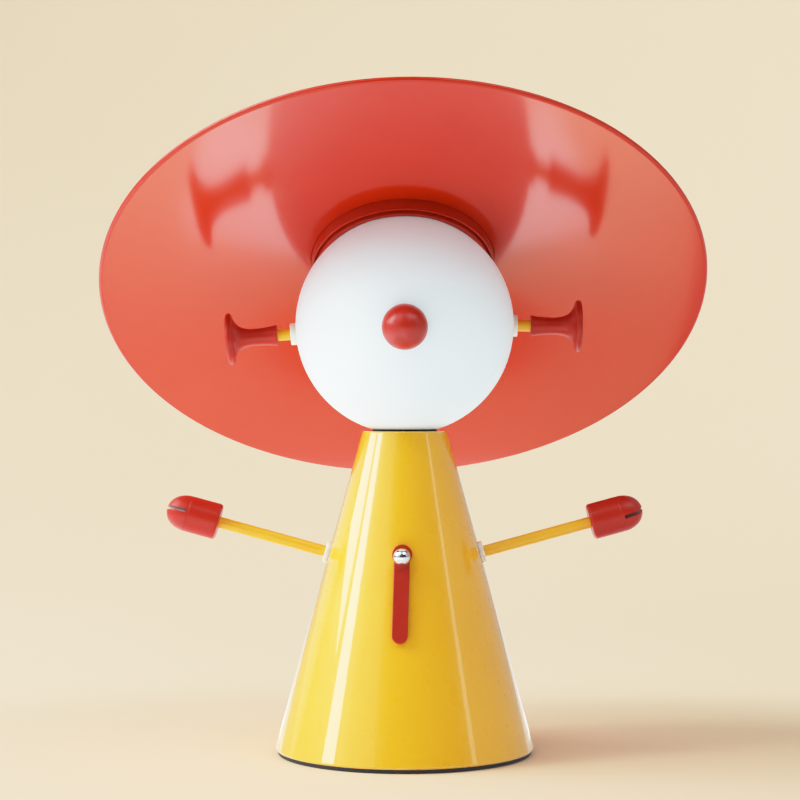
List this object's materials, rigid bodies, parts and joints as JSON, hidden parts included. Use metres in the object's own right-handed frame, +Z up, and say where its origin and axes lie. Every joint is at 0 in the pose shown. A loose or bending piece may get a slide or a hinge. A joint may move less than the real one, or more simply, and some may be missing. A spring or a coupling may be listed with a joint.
{
  "type": "portable table lamp",
  "caption": "Portable table lamp shaped as a small figure: gloss cone body, opal globe head, wide hat shade that tilts over the globe, turning arms and ears, front switch lever.",
  "frame": {"origin": "on the table, under the middle of the cone, at the pad's underside", "axes": "+Z up the lamp, -Y towards the front with the lever and the nose, +X to the viewer's right"},
  "size_m": [0.3085, 0.2477, 0.3237],
  "materials": {
    "pad_rubber": "matt black rubber",
    "gasket_rubber": "matt black rubber",
    "ballast_steel": "turned steel plate",
    "plain_steel": "plain bright steel",
    "black_plastic": "moulded black plastic",
    "cell_wrap": "blue shrink wrap over a metal can",
    "contact_brass": "nickel-plated brass leaf",
    "board_laminate": "green circuit laminate",
    "board_component": "dark component bodies",
    "light_phosphor": "yellow phosphor over light chips",
    "cable_jacket": "black cable jacket",
    "yellow_gloss": "high-gloss yellow enamel",
    "yellow_rod": "satin yellow paint on steel rod",
    "opal": "satin opal white, evenly translucent",
    "sink_aluminium": "machined aluminium",
    "red_hat": "semi-gloss red paint over spun aluminium",
    "red_liner": "moulded red plastic",
    "red_matte": "satin red moulded plastic",
    "red_lever": "satin red paint on steel strip",
    "nylon": "translucent natural nylon",
    "chrome_ball": "polished chrome",
    "magnet": "nickel-plated magnet",
    "felt": "thin grey felt"
  },
  "bodies": {
    "stand": {"base_pad": "pad_rubber", "cone_body": "yellow_gloss", "neck_gasket": "gasket_rubber", "globe": "opal", "nose_ball": "red_matte", "left_ear_bush": "nylon", "right_ear_bush": "nylon", "left_shoulder_bush": "nylon", "right_shoulder_bush": "nylon", "switch_nut": "plain_steel", "charge_socket": "plain_steel", "port_bezel": "black_plastic", "stem_tube": "plain_steel", "foot_nut": "plain_steel", "clamp_nut": "plain_steel", "neck_nut": "plain_steel", "top_nut": "plain_steel", "ballast_plate": "ballast_steel", "battery_cradle": "black_plastic", "battery_cells": "cell_wrap", "battery_contacts": "contact_brass", "battery_cap": "black_plastic", "driver_board": "board_laminate", "board_parts": "board_component", "light_cable": "cable_jacket", "charge_cable": "cable_jacket", "switch_cable": "cable_jacket", "port_bracket": "black_plastic", "charge_board": "board_laminate", "globe_plug": "black_plastic", "heat_sink": "sink_aluminium", "light_board": "board_laminate", "light_chips": "light_phosphor", "nose_stud": "plain_steel", "nose_nut": "plain_steel", "keeper_band": "plain_steel", "switch_body": "black_plastic"},
    "hat": {"hat_shell": "red_hat", "hat_collar": "red_hat", "hat_liner": "red_liner", "magnet_cup": "black_plastic", "crown_magnet": "magnet", "slide_pad": "felt"},
    "left_ear": {"left_ear_rod": "yellow_rod", "left_ear_horn": "red_matte", "left_ear_ring": "plain_steel"},
    "right_ear": {"right_ear_rod": "yellow_rod", "right_ear_horn": "red_matte", "right_ear_ring": "plain_steel"},
    "left_arm": {"left_arm_rod": "yellow_rod", "left_hand": "red_matte", "left_arm_ring": "plain_steel"},
    "right_arm": {"right_arm_rod": "yellow_rod", "right_hand": "red_matte", "right_arm_ring": "plain_steel"},
    "lever": {"lever_paddle": "red_lever", "lever_ball": "chrome_ball", "lever_shaft": "plain_steel", "lever_ring": "plain_steel"}
  },
  "joints": [
    {"name": "hat_tilt", "type": "hinge", "parent": "stand", "child": "hat", "pos_m": [0, 0, 0.2155], "axis": [0.9996, 0, 0.0297], "range_deg": [-15, 45]},
    {"name": "left_ear_turn", "type": "hinge", "parent": "stand", "child": "left_ear", "pos_m": [0, 0, 0.2155], "axis": [-0.9966, 0, -0.0819], "continuous": true},
    {"name": "right_ear_turn", "type": "hinge", "parent": "stand", "child": "right_ear", "pos_m": [0, 0, 0.2155], "axis": [1, 0, -0.007], "continuous": true},
    {"name": "left_arm_turn", "type": "hinge", "parent": "stand", "child": "left_arm", "pos_m": [-0.0381, 0, 0.10075], "axis": [-0.9644, 0, 0.2646], "continuous": true},
    {"name": "right_arm_turn", "type": "hinge", "parent": "stand", "child": "right_arm", "pos_m": [0.0381, 0, 0.10075], "axis": [0.9644, 0, 0.2646], "continuous": true},
    {"name": "lever_turn", "type": "hinge", "parent": "stand", "child": "lever", "pos_m": [-0.00114, -0.03829, 0.1], "axis": [-0.0286, -0.9639, 0.2646], "range_deg": [-60, 60]}
  ]
}
